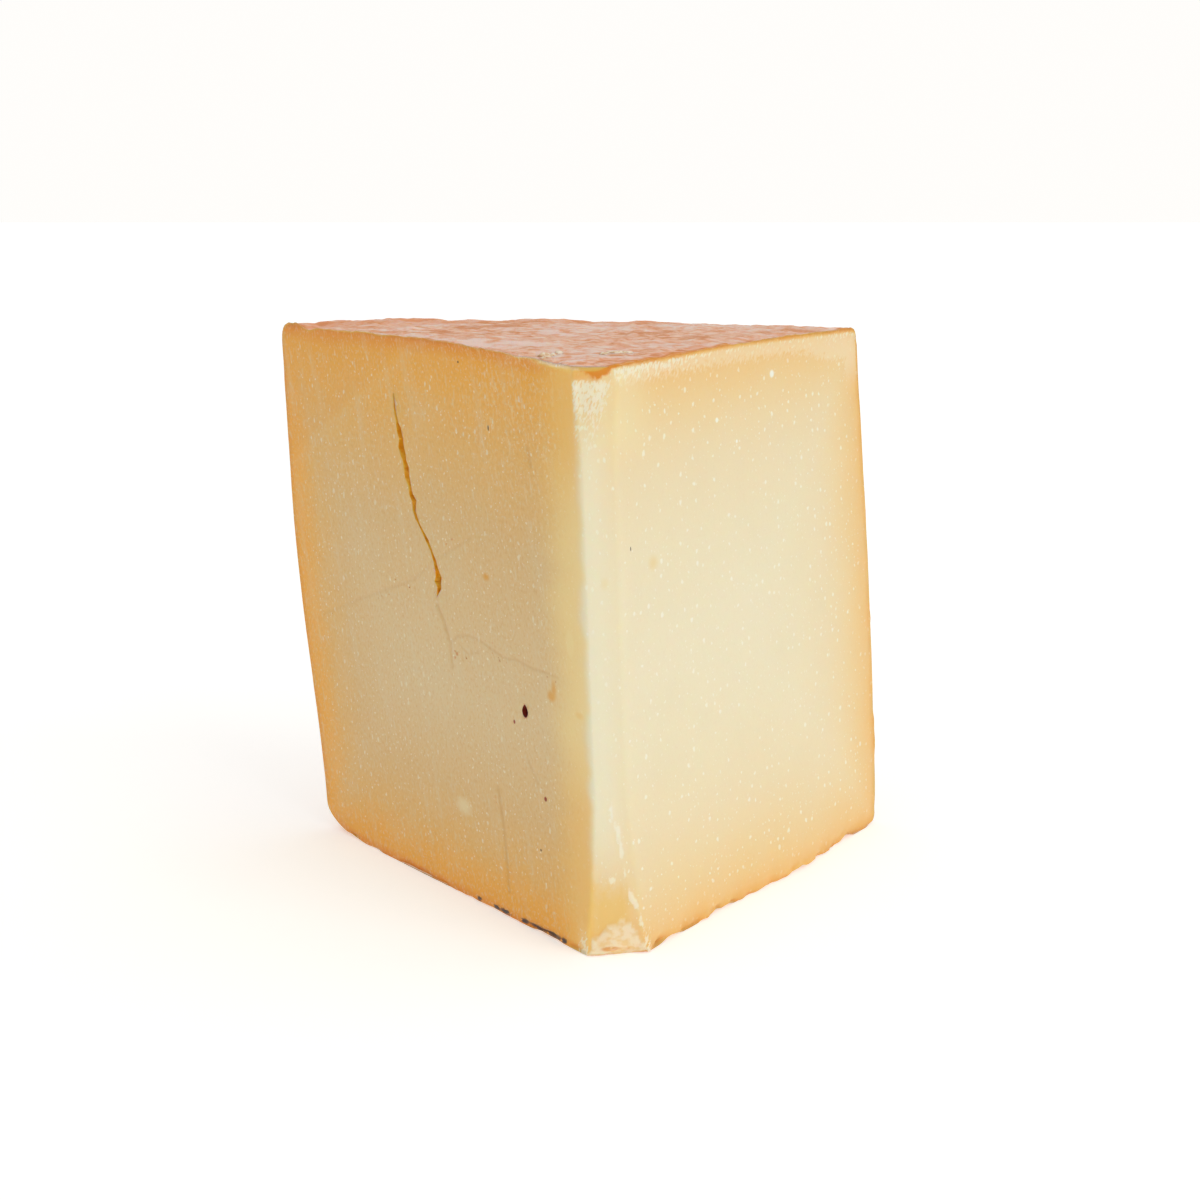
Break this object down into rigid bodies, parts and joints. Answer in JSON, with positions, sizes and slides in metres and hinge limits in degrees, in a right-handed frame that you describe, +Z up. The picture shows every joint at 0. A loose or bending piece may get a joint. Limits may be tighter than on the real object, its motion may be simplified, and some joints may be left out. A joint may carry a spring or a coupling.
{
  "type": "cheese wedge",
  "caption": "Hand-cut sector of a small aged cheese wheel: two flat cut faces meeting at a blunt nose, rounded rind arc behind, rind above and below.",
  "frame": {"origin": "centre of the bounding box's bottom face, on the flat lower rind that the wedge stands on", "axes": "-Y is the side of the blunt nose where the two cuts meet, +Y the side of the rind arc, +X to the right when facing the nose, +Z up through the upper rind"},
  "size_m": [0.1182, 0.0974, 0.1012],
  "materials": {
    "cheese": "satin"
  },
  "bodies": {
    "root": {"cheese_wedge": "cheese"}
  },
  "joints": []
}
